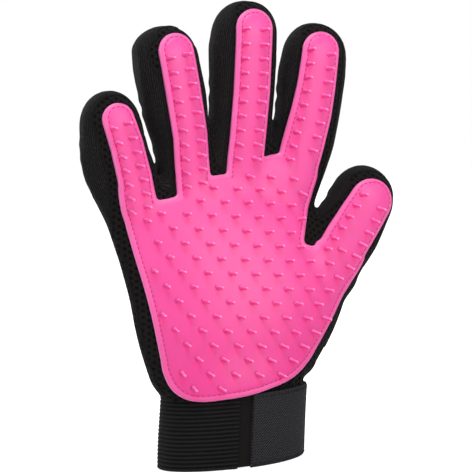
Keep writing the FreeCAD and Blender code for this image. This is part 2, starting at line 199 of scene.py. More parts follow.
# Nub columns on the finger strips: how far left and right of the strip's centre,
# height of the first nub on the left and on the right, spacing and lowest height.
STRIP_NUBS = {
    "little": (4.7, 2.6, 174.5, 176.5, 6.9, 127.0),
    "ring": (4.5, 3.2, 207.5, 209.1, 7.05, 141.0),
    "middle": (5.6, 3.5, 220.9, 220.5, 7.1, 150.0),
    "index": (6.1, 3.8, 210.1, 207.6, 6.9, 154.0),
}

# Painted shadows: faint darker streaks below the nubs, where their shadows fall.
NUB_SHADOW_DIRECTION = np.array([0.34, -0.94])
NUB_SHADOW_LENGTH = 6.0
NUB_SHADOW_WIDTH = 0.9
NUB_SHADOW_DEPTH = 0.5

# Nub columns on the thumb: first place, and the step to the next.
THUMB_NUBS = (((72.6, 134.5), (-3.9, -5.4)), ((81.4, 127.0), (-3.45, -5.9)))
THUMB_NUB_COUNT = 6

# --------------------------------------------------------------- small tools


def smooth_step(value):
    value = np.clip(value, 0.0, 1.0)
    return value * value * (3 - 2 * value)


def unit(vector):
    vector = np.asarray(vector, float)
    return vector / np.linalg.norm(vector)


def unit_rows(rows):
    return rows / np.maximum(np.linalg.norm(rows, axis=1), 1e-9)[:, None]


def closed_curve(points, per_span=10):
    """A round closed curve through the points, as a dense polygon."""
    points = np.asarray(points, float)
    before, after, second = np.roll(points, 1, 0), np.roll(points, -1, 0), np.roll(points, -2, 0)
    rows = []
    for step in range(per_span):
        t = step / per_span
        rows.append(0.5 * (
            2 * points + (after - before) * t
            + (2 * before - 5 * points + 4 * after - second) * t ** 2
            + (3 * points - before - 3 * after + second) * t ** 3
        ))
    return np.stack(rows, 1).reshape(-1, points.shape[1])


def resample(line, pitch):
    """Evenly spaced points round a closed line."""
    line = np.asarray(line, float)
    line = np.vstack([line, line[:1]])
    along = np.r_[0, np.cumsum(np.linalg.norm(np.diff(line, axis=0), axis=1))]
    count = max(4, int(round(along[-1] / pitch)))
    stops = np.linspace(0, along[-1], count, endpoint=False)
    return np.stack([np.interp(stops, along, line[:, k]) for k in range(line.shape[1])], 1)


def mesh_piece(name, points, faces):
    mesh = bpy.data.meshes.new(name)
    mesh.from_pydata((np.asarray(points, float) * MM).tolist(), [], [list(f) for f in faces])
    mesh.validate(clean_customdata=False)
    mesh.shade_smooth()
    item = bpy.data.objects.new(name, mesh)
    bpy.context.scene.collection.objects.link(item)
    return item


def join_lists(parts):
    """Joins (points, faces) lists into one."""
    points, faces, base = [], [], 0
    for part_points, part_faces in parts:
        points.append(np.asarray(part_points, float).reshape(-1, 3))
        faces.extend([tuple(i + base for i in face) for face in part_faces])
        base += len(part_points)
    return np.vstack(points), faces


# ------------------------------------------------------------------- digits


class Digit:
    """One digit's tube, laid out from its two hinges in the frame."""

    def __init__(self, name):
        self.name = name
        for field, value in zip(TUBE_FIELDS, TUBES[name]):
            setattr(self, field, value)
        joints = {joint["name"]: joint for joint in frame["joints"]}
        knuckle = joints[f"{name}_knuckle"]
        middle = joints[f"{name}_middle_joint"]
        crease = np.array(knuckle["pos_m"]) / MM
        next_crease = np.array(middle["pos_m"]) / MM
        self.side = unit(knuckle["axis"])
        run = next_crease - crease
        self.lower = float(np.linalg.norm(run - self.side * (run @ self.side)))
        self.up = unit(run - self.side * (run @ self.side))
        self.back = np.cross(self.up, self.side)
        self.centre = crease + self.back * self.reach
        turn = math.radians(self.roll)
        self.wide_axis = self.side * math.cos(turn) + self.back * math.sin(turn)
        self.deep_axis = self.back * math.cos(turn) - self.side * math.sin(turn)

    def drift(self, height):
        height = np.asarray(height, float)
        low = np.where(height < 0, height * self.root_drift, height * self.lower_drift)
        high = self.lower * self.lower_drift + (height - self.lower) * self.upper_drift
        return np.where(height > self.lower, high, low)

    def axis_point(self, height):
        return self.centre + self.side * float(self.drift(height)) + self.up * height

    def local(self, points):
        """Across, back and up coordinates from the tube's centre line."""
        offset = np.asarray(points, float) - self.centre
        height = offset @ self.up
        offset = offset - self.side * self.drift(height)[:, None]
        return np.stack([offset @ self.wide_axis, offset @ self.deep_axis, height], 1)

    def halves(self, height):
        """Left and right half widths of the tube."""
        table = np.array(HALF_WIDTHS[self.name], float)
        return [np.interp(height, table[:, 0], table[:, k]) for k in (1, 2)]

    def half_toward(self, local):
        left, right = self.halves(local[:, 2])
        return np.where(local[:, 0] > 0, right, left)

    def tube(self):
        """Closed tube with a round tip, as points and faces."""
        around = 44
        total = self.lower + self.upper
        heights = list(np.linspace(-self.root, total - self.dome, 24))
        shares = [1.0] * len(heights)
        for k in range(1, 14):
            rise = math.sin(math.pi / 2 * k / 13.5)
            heights.append(total - self.dome + self.dome * rise)
            shares.append((1 - rise ** 2.1) ** (1 / 2.1))
        points = []
        for height, share in zip(heights, shares):
            centre = self.axis_point(height)
            left, right = self.halves(height)
            deep = self.deep * share ** 0.85
            for k in range(around):
                angle = 2 * math.pi * k / around
                c, s = math.cos(angle), math.sin(angle)
                x = math.copysign(abs(c) ** (2 / 2.3), c) * (right if c > 0 else left) * share
                y = math.copysign(abs(s) ** (2 / 2.3), s) * deep
                points.append(centre + self.wide_axis * x + self.deep_axis * y)
        return np.array(points), tube_faces(len(heights), around)


def tube_faces(rings, around):
    """Sides and end caps of a tube whose points run ring by ring."""
    faces = []
    for r in range(rings - 1):
        for k in range(around):
            n = (k + 1) % around
            faces.append((r * around + k, r * around + n, (r + 1) * around + n, (r + 1) * around + k))
    faces.append(tuple(reversed(range(around))))
    faces.append(tuple((rings - 1) * around + k for k in range(around)))
    return faces


DIGITS = [Digit(name) for name in TUBES]


def press_apart(points, digit, neighbour):
    """Flattens a tube where it would run into its neighbour, leaving a thin gap."""
    own, other = digit.local(points), neighbour.local(points)
    own_half, other_half = digit.half_toward(own), neighbour.half_toward(other)
    between = np.sign(own[:, 0]) != np.sign(other[:, 0])
    apart = np.abs(own[:, 0]) + np.abs(other[:, 0])
    gap = FINGER_GAP + TIP_GAP * smooth_step((points[:, 2] - TIP_GAP_START) / TIP_GAP_REACH)
    limit = apart * own_half / (own_half + other_half) - gap / 2
    excess = np.where(between, np.maximum(np.abs(own[:, 0]) - limit, 0), 0)
    return points - digit.wide_axis * (np.sign(own[:, 0]) * excess)[:, None]


def tube_volumes():
    fingers = DIGITS[:4]
    volumes = []
    for digit in DIGITS:
        points, faces = digit.tube()
        for neighbour in fingers:
            if digit in fingers and abs(fingers.index(digit) - fingers.index(neighbour)) == 1:
                points = press_apart(points, digit, neighbour)
        volumes.append((points, faces))
    return volumes


# --------------------------------------------------------------- fabric skin


def palm_volume():
    around = 72
    heights = np.linspace(PALM[0][0], PALM[-1][0], 40)
    table = np.array(PALM)
    points = []
    for height in heights:
        left, right, middle, deep = [np.interp(height, table[:, 0], table[:, k]) for k in (1, 2, 3, 4)]
        centre, wide = (left + right) / 2, (right - left) / 2
        for k in range(around):
            angle = 2 * math.pi * k / around
            c, s = math.cos(angle), math.sin(angle)
            x = math.copysign(abs(c) ** (2 / 2.35), c) * wide
            y = math.copysign(abs(s) ** (2 / 2.1), s) * deep
            points.append((centre + x, middle + y, height))
    return points, tube_faces(len(heights), around)


def ellipsoid(centre, radii):
    around, rings = 20, 12
    points = []
    for r in range(rings):
        lift = math.pi * (r + 0.5) / rings - math.pi / 2
        for k in range(around):
            angle = 2 * math.pi * k / around
            points.append((
                centre[0] + radii[0] * math.cos(lift) * math.cos(angle),
                centre[1] + radii[1] * math.cos(lift) * math.sin(angle),
                centre[2] + radii[2] * math.sin(lift),
            ))
    return points, tube_faces(rings, around)


def relax(points, edges, rounds):
    """Moves every point toward the mean of its neighbours."""
    first, second = edges.T
    total_points = len(points)
    count = np.bincount(edges.ravel(), minlength=total_points).astype(float)
    for _ in range(rounds):
        means = []
        for axis in range(3):
            sums = np.bincount(first, points[second, axis], total_points)
            sums += np.bincount(second, points[first, axis], total_points)
            means.append(sums / count)
        points = 0.5 * (points + np.stack(means, 1))
    return points


def mesh_arrays(mesh):
    points = np.zeros(len(mesh.vertices) * 3)
    mesh.vertices.foreach_get("co", points)
    edges = np.zeros(len(mesh.edges) * 2, int)
    mesh.edges.foreach_get("vertices", edges)
    faces = [tuple(face.vertices) for face in mesh.polygons]
    return points.reshape(-1, 3) / MM, edges.reshape(-1, 2), faces


def grow_skin():
    """One closed skin round the palm, the webs and the five tubes."""
    volumes = [palm_volume()] + tube_volumes() + [ellipsoid(*web) for web in WEBS]
    points, faces = join_lists(volumes)
    rough = mesh_piece("rough_skin", points, faces)
    union = rough.modifiers.new("union", "REMESH")
    union.mode = "VOXEL"
    union.voxel_size = SKIN_GRAIN * MM
    graph = bpy.context.evaluated_depsgraph_get()
    mesh = bpy.data.meshes.new_from_object(rough.evaluated_get(graph))
    bpy.data.objects.remove(rough)
    points, edges, faces = mesh_arrays(mesh)
    bpy.data.meshes.remove(mesh)
    points = relax(points, edges, 14)
    smoother = relax(points, edges, 90)
    x, y, z = points.T
    at_roots = np.exp(-((z - ROOT_HEIGHT) / ROOT_REACH) ** 4) * (x < ROOT_RIGHT)
    from_thumb = np.hypot(x - THUMB_ROOT[0], z - THUMB_ROOT[1])
    at_thumb = np.exp(-(from_thumb / ROOT_REACH) ** 4)
    blend = np.maximum(at_roots, at_thumb) * smooth_step((-y - 4.0) / 5.0)
    points = points + (smoother - points) * blend[:, None]
    return points, edges, faces


def point_normals(points, faces):
    normals = np.zeros_like(points)
    for size in sorted(set(len(face) for face in faces)):
        rows = np.array([face for face in faces if len(face) == size])
        corners = points[rows]
        area = np.cross(corners, np.roll(corners, -1, 1)).sum(1)
        for k in range(size):
            np.add.at(normals, rows[:, k], area)
    return unit_rows(normals)


def fold_depth(points, normals, field):
    """Soft creases: puckers above the cuff seam, folds behind each joint."""
    x, y, z = points.T
    covered = (sample(field, x, z) < 3) & (normals[:, 1] < 0)
    near_cuff = np.exp(-((z - 38.0) / 9.0) ** 2)
    depth = 0.55 * near_cuff * np.sin(x * 0.62 + 1.3 * np.sin(x * 0.19) + 0.08 * z)
    depth = np.where(covered, 0, depth)
    depth += 0.30 * np.sin(x * 0.13 + 1.1) * np.sin(z * 0.11 + 0.6) * (normals[:, 1] > -0.3)
    for digit in DIGITS:
        local = digit.local(points)
        behind = smooth_step(local[:, 1] / 6.0)
        inside = np.abs(local[:, 0]) < digit.half_toward(local) + 2
        for joint in (0.0, digit.lower):
            away = (local[:, 2] - joint) / 7.0
            depth += np.where(inside, behind * -0.45 * np.exp(-away ** 2) * np.cos(away * 5.0), 0)
    return depth


# ------------------------------------------------------- rubber pad outline

GRID_STEP = 0.8
GRID_X = np.arange(-84.0, 104.0, GRID_STEP)
GRID_Z = np.arange(24.0, 246.0, GRID_STEP)


def polygon_distance(x, z, polygon):
    """Signed distance to a closed polygon, negative inside."""
    nearest = np.full(x.shape, 1e9)
    inside = np.zeros(x.shape, bool)
    for (x0, z0), (x1, z1) in zip(polygon, np.roll(polygon, -1, 0)):
        dx, dz = x1 - x0, z1 - z0
        t = np.clip(((x - x0) * dx + (z - z0) * dz) / (dx * dx + dz * dz + 1e-12), 0, 1)
        nearest = np.minimum(nearest, np.hypot(x - x0 - t * dx, z - z0 - t * dz))
        crosses = (z0 > z) != (z1 > z)
        if dz:
            inside ^= crosses & (x < dx * (z - z0) / dz + x0)
    return np.where(inside, -nearest, nearest)


def strip_distance(x, z, stations):
    """Signed distance to a strip whose half width changes along its line."""
    nearest = np.full(x.shape, 1e9)
    for (x0, z0, r0), (x1, z1, r1) in zip(stations, stations[1:]):
        dx, dz = x1 - x0, z1 - z0
        t = np.clip(((x - x0) * dx + (z - z0) * dz) / (dx * dx + dz * dz), 0, 1)
        away = np.hypot(x - x0 - t * dx, z - z0 - t * dz) - (r0 + t * (r1 - r0))
        nearest = np.minimum(nearest, away)
    return nearest


def soft_min(a, b, blend):
    h = np.clip(0.5 + 0.5 * (b - a) / blend, 0, 1)
    return b + (a - b) * h - blend * h * (1 - h)


def pad_field():
    """Distance to the outline of the rubber on a grid, negative on the rubber."""
    x, z = np.meshgrid(GRID_X, GRID_Z, indexing="ij")
    field = polygon_distance(x, z, closed_curve(PALM_OUTLINE))
    for stations in STRIPS.values():
        field = soft_min(field, strip_distance(x, z, stations), 1.6)
    return field


def rim_field(field):
    """The pad field, stretched where the stitches run closer to the outline.

    Returns it with the share of each place that belongs to a web between digits.
    """
    x, z = np.meshgrid(GRID_X, GRID_Z, indexing="ij")
    across, upward = np.gradient(field, GRID_STEP)
    on_digit = smooth_step((z - 135) / 20)
    on_digit = np.maximum(on_digit, smooth_step((x - 58) / 8) * smooth_step((z - 88) / 8))
    inset = STITCH_INSET - STITCH_NARROWING * np.maximum(across, 0) * on_digit
    inset = inset - STITCH_NARROWING * np.maximum(upward, 0) * on_digit
    web = (x < 57) & (z > 100) & (z < 164) & (field > -6)
    web_share = np.where(web, smooth_step((upward - 0.45) / 0.3), 0)
    return field * STITCH_INSET / inset, web_share


def sample(field, x, z):
    i = np.clip((np.asarray(x) - GRID_X[0]) / GRID_STEP, 0, len(GRID_X) - 1.001)
    j = np.clip((np.asarray(z) - GRID_Z[0]) / GRID_STEP, 0, len(GRID_Z) - 1.001)
    i0, j0 = i.astype(int), j.astype(int)
    u, v = i - i0, j - j0
    low = field[i0, j0] * (1 - u) + field[i0 + 1, j0] * u
    high = field[i0, j0 + 1] * (1 - u) + field[i0 + 1, j0 + 1] * u
    return low * (1 - v) + high * v


def contours(field, level):
    """Closed lines where the field crosses the level, as (x, z) arrays."""
    above = field > level
    links = {}

    def crossing(a, b):
        (i0, j0), (i1, j1) = a, b
        t = (level - field[a]) / (field[b] - field[a])
        return (GRID_X[i0] + t * (i1 - i0) * GRID_STEP, GRID_Z[j0] + t * (j1 - j0) * GRID_STEP)

    places = {}
    mixed = above[:-1, :-1].astype(int) + above[1:, :-1] + above[:-1, 1:] + above[1:, 1:]
    for i, j in np.argwhere((mixed > 0) & (mixed < 4)):
        corners = [(i, j), (i + 1, j), (i + 1, j + 1), (i, j + 1)]
        keys = []
        for a, b in zip(corners, corners[1:] + corners[:1]):
            if above[a] != above[b]:
                key = (min(a, b), max(a, b))
                places[key] = crossing(*key)
                keys.append(key)
        for a, b in zip(keys[::2], keys[1::2]):
            links.setdefault(a, []).append(b)
            links.setdefault(b, []).append(a)
    lines, seen = [], set()
    for start in links:
        if start in seen:
            continue
        line, here, last = [], start, None
        while here is not None and here not in seen:
            seen.add(here)
            line.append(places[here])
            ahead = [k for k in links[here] if k != last and k not in seen]
            last, here = here, (ahead[0] if ahead else None)
        if len(line) > 20:
            lines.append(np.array(line))
    return lines


# ----------------------------------------------------------- wrapping things


class Wrap:
    """Lays flat (x, z) drawings on the front of the skin."""

    def __init__(self, points, faces, normals):
        self.tree = BVHTree.FromPolygons([Vector(p) for p in points], faces)
        self.faces = faces
        self.points = points
        self.normals = normals

    def lay(self, flat):
        """Points on the skin and their smooth outward normals."""
        spots, directions = [], []
        for x, z in flat:
            spot, _, index, _ = self.tree.ray_cast(Vector((x, -90.0, z)), Vector((0, 1, 0)))
            if spot is None:
                spot, _, index, _ = self.tree.find_nearest(Vector((x, -8.0, z)))
            spot = np.array(spot)
            corners = list(self.faces[index])
            near = 1 / (np.linalg.norm(self.points[corners] - spot, axis=1) + 0.05) ** 2
            direction = (self.normals[corners] * near[:, None]).sum(0)
            spots.append(spot)
            directions.append(unit(direction))
        return np.array(spots), np.array(directions)


RIM_DEPTHS = (-0.3, 0.0, 0.35, 0.9, 2.1, 2.6, 2.9, 3.2, 3.9)


def rim_height(depth_inside, web_share):
    """Height of the rubber over the skin, by distance in from its outline."""
    rises = (-0.9, 0.7, 1.35, 1.7, 1.8, 1.65, 1.62, 1.6, 1.6)
    height = np.interp(depth_inside, RIM_DEPTHS, rises)
    groove = np.exp(-((depth_inside - STITCH_INSET) / 0.42) ** 2) * (1 - 0.85 * web_share)
    return (height - 0.42 * groove) * PAD_THICK / 1.7


def over_cuff(height):
    """How far the rubber swells out to pass in front of the cuff."""
    return SWELL * (1 - smooth_step((np.asarray(height) - SWELL_START) / SWELL_FADE))


def pad_sheet(rim, web_share, wrap):
    """Rubber sheet as 3-D points, faces and the depth in from the outline."""
    flat = []
    for inset in RIM_DEPTHS:
        for line in contours(rim, -inset):
            flat.append(resample(line, 0.95))
    x, z = np.meshgrid(np.arange(-70, 100, PAD_GRAIN), np.arange(30, 240, PAD_GRAIN * 0.87), indexing="ij")
    x = x + (np.arange(x.shape[1]) % 2) * PAD_GRAIN / 2
    inner = sample(rim, x.ravel(), z.ravel()) < -4.6
    flat.append(np.stack([x.ravel()[inner], z.ravel()[inner]], 1))
    flat = np.vstack(flat)
    plane, _, triangles, _, _, _ = delaunay_2d_cdt([Vector(p) for p in flat], [], [], 0, 1e-4)
    plane = np.array([(p.x, p.y) for p in plane])
    triangles = np.array(triangles)
    middle = plane[triangles].mean(1)
    triangles = triangles[sample(rim, middle[:, 0], middle[:, 1]) < 0.27]
    edge_a = plane[triangles[:, 1]] - plane[triangles[:, 0]]
    edge_b = plane[triangles[:, 2]] - plane[triangles[:, 0]]
    turning = edge_a[:, 0] * edge_b[:, 1] - edge_a[:, 1] * edge_b[:, 0]
    triangles = triangles[np.abs(turning) > 1e-5]
    turning = turning[np.abs(turning) > 1e-5]
    triangles = np.where(turning[:, None] > 0, triangles, triangles[:, ::-1])
    spots, directions = wrap.lay(plane)
    depth = -sample(rim, plane[:, 0], plane[:, 1])
    rise = rim_height(depth, sample(web_share, plane[:, 0], plane[:, 1])) + over_cuff(plane[:, 1])
    return spots + directions * rise[:, None], [tuple(t) for t in triangles], depth


PEG_RINGS = 8


def peg(foot, direction, height=NUB_HEIGHT):
    """A blunt rubber nub with a flared foot and a rounded tip."""
    around = 12
    profile = (
        (-0.5, NUB_BASE * 1.6), (0.0, NUB_BASE * 1.35), (0.35, NUB_BASE * 1.1), (0.9, NUB_BASE),
        (height * 0.6, NUB_BASE * 0.8), (height - 0.6, NUB_TIP * 1.12), (height - 0.2, NUB_TIP * 0.8),
        (height, NUB_TIP * 0.3),
    )
    across = unit(np.cross(direction, (0.0, 0.0, 1.0)))
    other = np.cross(direction, across)
    points = []
    for lift, radius in profile:
        for k in range(around):
            angle = 2 * math.pi * k / around
            spread = across * math.cos(angle) + other * math.sin(angle)
            points.append(foot + direction * lift + spread * radius)
    return points, tube_faces(len(profile), around)


def strip_nub_places(name):
    """Two columns of nubs down a finger's strip."""
    left, right, left_top, right_top, row, floor = STRIP_NUBS[name]
    line = np.array(STRIPS[name])[::-1]
    flat = []
    for offset, top in ((-left, left_top), (right, right_top)):
        for z in np.arange(top, floor, -row):
            flat.append((np.interp(z, line[:, 1], line[:, 0]) + offset, z))
    return flat


def thumb_nub_places():
    flat = []
    for (x, z), (step_x, step_z) in THUMB_NUBS:
        for k in range(THUMB_NUB_COUNT):
            flat.append((x + k * step_x, z + k * step_z))
    return flat


def palm_nub_places(field, taken):
    """Staggered rows that fall slightly toward the thumb side."""
    flat = []
    for row in range(-9, 7):
        for column in range(-7, 8):
            along = column + 0.5 * (row % 2)
            shift = PALM_NUB_COLUMN * along - 0.1 * along ** 2 + 1.22 * row
            x = PALM_NUB_START[0] + shift
            z = PALM_NUB_START[1] + PALM_NUB_ROW * row - 0.105 * shift
            if sample(field, x, z) > -4.6:
                continue
            if np.min(np.hypot(*(taken - (x, z)).T)) < 6.0:
                continue
            flat.append((x, z))
    return flat


def nub_places(field):
    strips = thumb_nub_places()
    for name in STRIP_NUBS:
        strips += strip_nub_places(name)
    strips = np.array(strips)
    return np.vstack([strips, palm_nub_places(field, strips)])


def nub_parts(field, wrap):
    places = nub_places(field)
    spots, directions = wrap.lay(places)
    spots = spots + directions * over_cuff(places[:, 1])[:, None]
    parts = []
    for spot, direction in zip(spots, directions):
        droop = NUB_DROOP * (1 - float(smooth_step((spot[2] - DROOP_START) / DROOP_FADE)))
        lean = unit(direction * (NUB_FLATTEN, 1.0, 1.0) + np.array([NUB_LEAN, 0.0, -droop]))
        parts.append(peg(spot + direction * (PAD_THICK - 0.2), lean))
    return parts


def bead(centres, normals, radius, flat=1.0):
    """A thin cord along points, pressed onto the surface."""
    around = 6
    centres = np.asarray(centres)
    ahead = np.roll(centres, -1, 0) - np.roll(centres, 1, 0)
    ahead[0], ahead[-1] = centres[1] - centres[0], centres[-1] - centres[-2]
    points = []
    for spot, run, normal in zip(centres, ahead, normals):
        across = unit(np.cross(normal, run))
        for k in range(around):
            angle = 2 * math.pi * k / around
            sideways = across * radius * math.cos(angle)
            points.append(spot + sideways + normal * radius * flat * math.sin(angle))
    return points, tube_faces(len(centres), around)


def stitch_parts(rim, web_share, wrap):
    """Dashes of thread in the groove round the rubber."""
    parts = []
    for line in contours(rim, -STITCH_INSET):
        line = resample(line, STITCH_PERIOD / 5)
        spots, directions = wrap.lay(line)
        bare = sample(web_share, line[:, 0], line[:, 1]) > 0.5
        lift = (PAD_THICK * 1.25 / 1.7 + over_cuff(line[:, 1]))[:, None]
        for first in range(0, len(line) - 4, 5):
            run = slice(first, first + 4)
            if not bare[run].any():
                middle = spots[run] + directions[run] * lift[run]
                parts.append(bead(middle, directions[run], 0.30, flat=0.8))
    return parts


# ------------------------------------------------------------- piece cutting


def owner_of(points):
    """0 for the hand, 1 + 2k for digit k below mid segment, 2 + 2k above it."""
    points = np.asarray(points, float)
    owner = np.zeros(len(points), int)
    best = np.full(len(points), 1e9)
    for number, digit in enumerate(DIGITS):
        local = digit.local(points)
        share = np.abs(local[:, 0]) / digit.half_toward(local)
        toward_index = (digit.name == "thumb") & (local[:, 0] < 0)
        widest = np.where(toward_index, THUMB_INNER_SHARE, DIGIT_SHARE)
        near = (local[:, 2] > -CUT_BELOW_KNUCKLE) & (share < widest) & (np.abs(local[:, 1]) < 30)
        wins = near & (share < best)
        best = np.where(wins, share, best)
        part = np.where(local[:, 2] > digit.lower / 2, 2, 1)
        owner = np.where(wins, 2 * number + part, owner)
    return owner


def attach(item, owner):
    """Makes a hand piece ride on the hand; a digit's piece is not attached, only its transform is baked
    into its points.
    """
    if owner == 0:
        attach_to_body(item, "hand")
        return
    digit = DIGITS[(owner - 1) // 2]
    if owner % 2:
        bodies, height = ("hand", f"{digit.name}_lower"), 0.0
    else:
        bodies, height = (f"{digit.name}_lower", f"{digit.name}_upper"), digit.lower
    start = digit.axis_point(height) - digit.up * BEND_HALF
    end = digit.axis_point(height) + digit.up * BEND_HALF
    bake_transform(item)


def piece_name(owner, word):
    if owner == 0:
        return f"hand_{word}"
    digit = DIGITS[(owner - 1) // 2].name
    return f"{digit}_{'base' if owner % 2 else 'tip'}_{word}"


def cad_node(owner, panel):
    if owner == 0:
        return {"front": "palm_front_panel", "back": "palm_back_panel", "pad": "palm_pad"}[panel]
    digit = DIGITS[(owner - 1) // 2].name
    return f"{digit}_{'lower' if owner % 2 else 'upper'}_{panel}"


def cut_pieces(points, faces, normals, owners, word, material, panel=None, extra=None):
    """Splits a mesh by owner and keeps the shared normals along the cuts."""
    for owner in sorted(set(owners)):
        chosen = [face for face, who in zip(faces, owners) if who == owner]
        used = sorted(set(i for face in chosen for i in face))
        index = {old: new for new, old in enumerate(used)}
        renumbered = [[index[i] for i in face] for face in chosen]
        item = mesh_piece(piece_name(owner, word), points[used], renumbered)
        store(item, "rest_mm", points[used])
        for key, values in (extra or {}).items():
            store(item, key, values[used])
        item.data.normals_split_custom_set_from_vertices(normals[used].tolist())
        item.data.materials.append(material)
        attach(item, owner)
        if panel:
            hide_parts(cad_node(owner, panel))


def store(item, name, values):
    """Keeps a per-point value, so that patterns stay put when the piece bends."""
    values = np.asarray(values, np.float32)
    kind = "FLOAT" if values.ndim == 1 else "FLOAT_VECTOR"
    layer = item.data.attributes.new(name, kind, "POINT")
    layer.data.foreach_set("value" if values.ndim == 1 else "vector", values.ravel())


def face_middles(points, faces):
    return np.array([points[list(face)].mean(0) for face in faces])


def cloth_coordinates(points):
    """Across and along coordinates of the knit, wrapped round each digit."""
    table = np.array(PALM)
    left = np.interp(points[:, 2], table[:, 0], table[:, 1])
    right = np.interp(points[:, 2], table[:, 0], table[:, 2])
    side = (points[:, 0] - (left + right) / 2) / ((right - left) / 2)
    across = points[:, 0] + np.sign(side) * np.abs(side) ** 6 * (8.0 - points[:, 1])
    flat = np.stack([across, points[:, 2], points[:, 1]], 1)
    owner = owner_of(points)
    for number, digit in enumerate(DIGITS):
        local = digit.local(points)
        angle = np.arctan2(local[:, 0], local[:, 1])
        mine = (owner + 1) // 2 == number + 1
        wrapped = np.stack([angle * 14.5, local[:, 2], np.zeros(len(points))], 1)
        flat = np.where(mine[:, None], wrapped, flat)
    return flat


# ------------------------------------------------------------------ materials

# Holes of the mesh, and whole cells added so that no coordinate is negative.
MESH_PITCH = 4.6
MESH_SQUEEZE = 0.72
CELLS_ASIDE = 50.0


def material(name):
    item = bpy.data.materials.new(name)
    item.use_nodes = True
    tree = item.node_tree
    shader = tree.nodes["Principled BSDF"]
    return item, tree, shader


def node(tree, kind, **settings):
    item = tree.nodes.new(kind)
    for key, value in settings.items():
        setattr(item, key, value)
    return item


def math_node(tree, operation, first, second=None):
    item = node(tree, "ShaderNodeMath", operation=operation)
    for slot_number, value in enumerate((first, second)):
        if value is None:
            continue
        if isinstance(value, (int, float)):
            item.inputs[slot_number].default_value = value
        else:
            tree.links.new(value, item.inputs[slot_number])
    return item.outputs[0]


def coordinate(tree, name):
    """The three parts of a stored coordinate."""
    source = node(tree, "ShaderNodeAttribute", attribute_name=name)
    parts = node(tree, "ShaderNodeSeparateXYZ")
    tree.links.new(source.outputs["Vector"], parts.inputs[0])
    return source.outputs["Vector"], parts.outputs


def times(tree, first, second):
    return math_node(tree, "MULTIPLY", first, second)


def plus(tree, first, second):
    return math_node(tree, "ADD", first, second)


def scaled(tree, value, scale, offset):
    """value * scale + offset"""
    result = math_node(tree, "MULTIPLY_ADD", value, scale)
    result.node.inputs[2].default_value = offset
    return result


def wave(tree, value, period, phase=0.0):
    """0 to 1 ripple of a coordinate with a period in millimetres."""
    turned = scaled(tree, value, 2 * math.pi / period, phase)
    return scaled(tree, math_node(tree, "SINE", turned), 0.5, 0.5)


def fade(tree, value, low, high, first, last):
    """Goes smoothly from first to last as the value goes from low to high."""
    item = node(tree, "ShaderNodeMapRange", interpolation_type="SMOOTHSTEP")
    for key, number in (("From Min", low), ("From Max", high), ("To Min", first), ("To Max", last)):
        item.inputs[key].default_value = number
    tree.links.new(value, item.inputs["Value"])
    return item.outputs[0]


def noise(tree, vector, scale, detail=3.0):
    item = node(tree, "ShaderNodeTexNoise")
    item.inputs["Scale"].default_value = scale
    item.inputs["Detail"].default_value = detail
    tree.links.new(vector, item.inputs["Vector"])
    return item.outputs["Fac"]


def tint(tree, factor, *colours):
    """Mixes two colours, each a tuple or another node's output."""
    mix = node(tree, "ShaderNodeMix", data_type="RGBA")
    tree.links.new(factor, mix.inputs["Factor"])
    for socket, colour in zip(mix.inputs[6:8], colours):
        if isinstance(colour, tuple):
            socket.default_value = (*colour, 1)
        else:
            tree.links.new(colour, socket)
    return mix.outputs[2]


def bump(tree, shader, height, strength, distance):
    item = node(tree, "ShaderNodeBump")
    item.inputs["Strength"].default_value = strength
    item.inputs["Distance"].default_value = distance * MM
    tree.links.new(height, item.inputs["Height"])
    tree.links.new(item.outputs[0], shader.inputs["Normal"])


def finish_shader(shader, roughness, sheen=0.0, specular=0.5):
    shader.inputs["Roughness"].default_value = roughness
    shader.inputs["Sheen Weight"].default_value = sheen
    shader.inputs["Sheen Roughness"].default_value = 0.4
    shader.inputs["Specular IOR Level"].default_value = specular


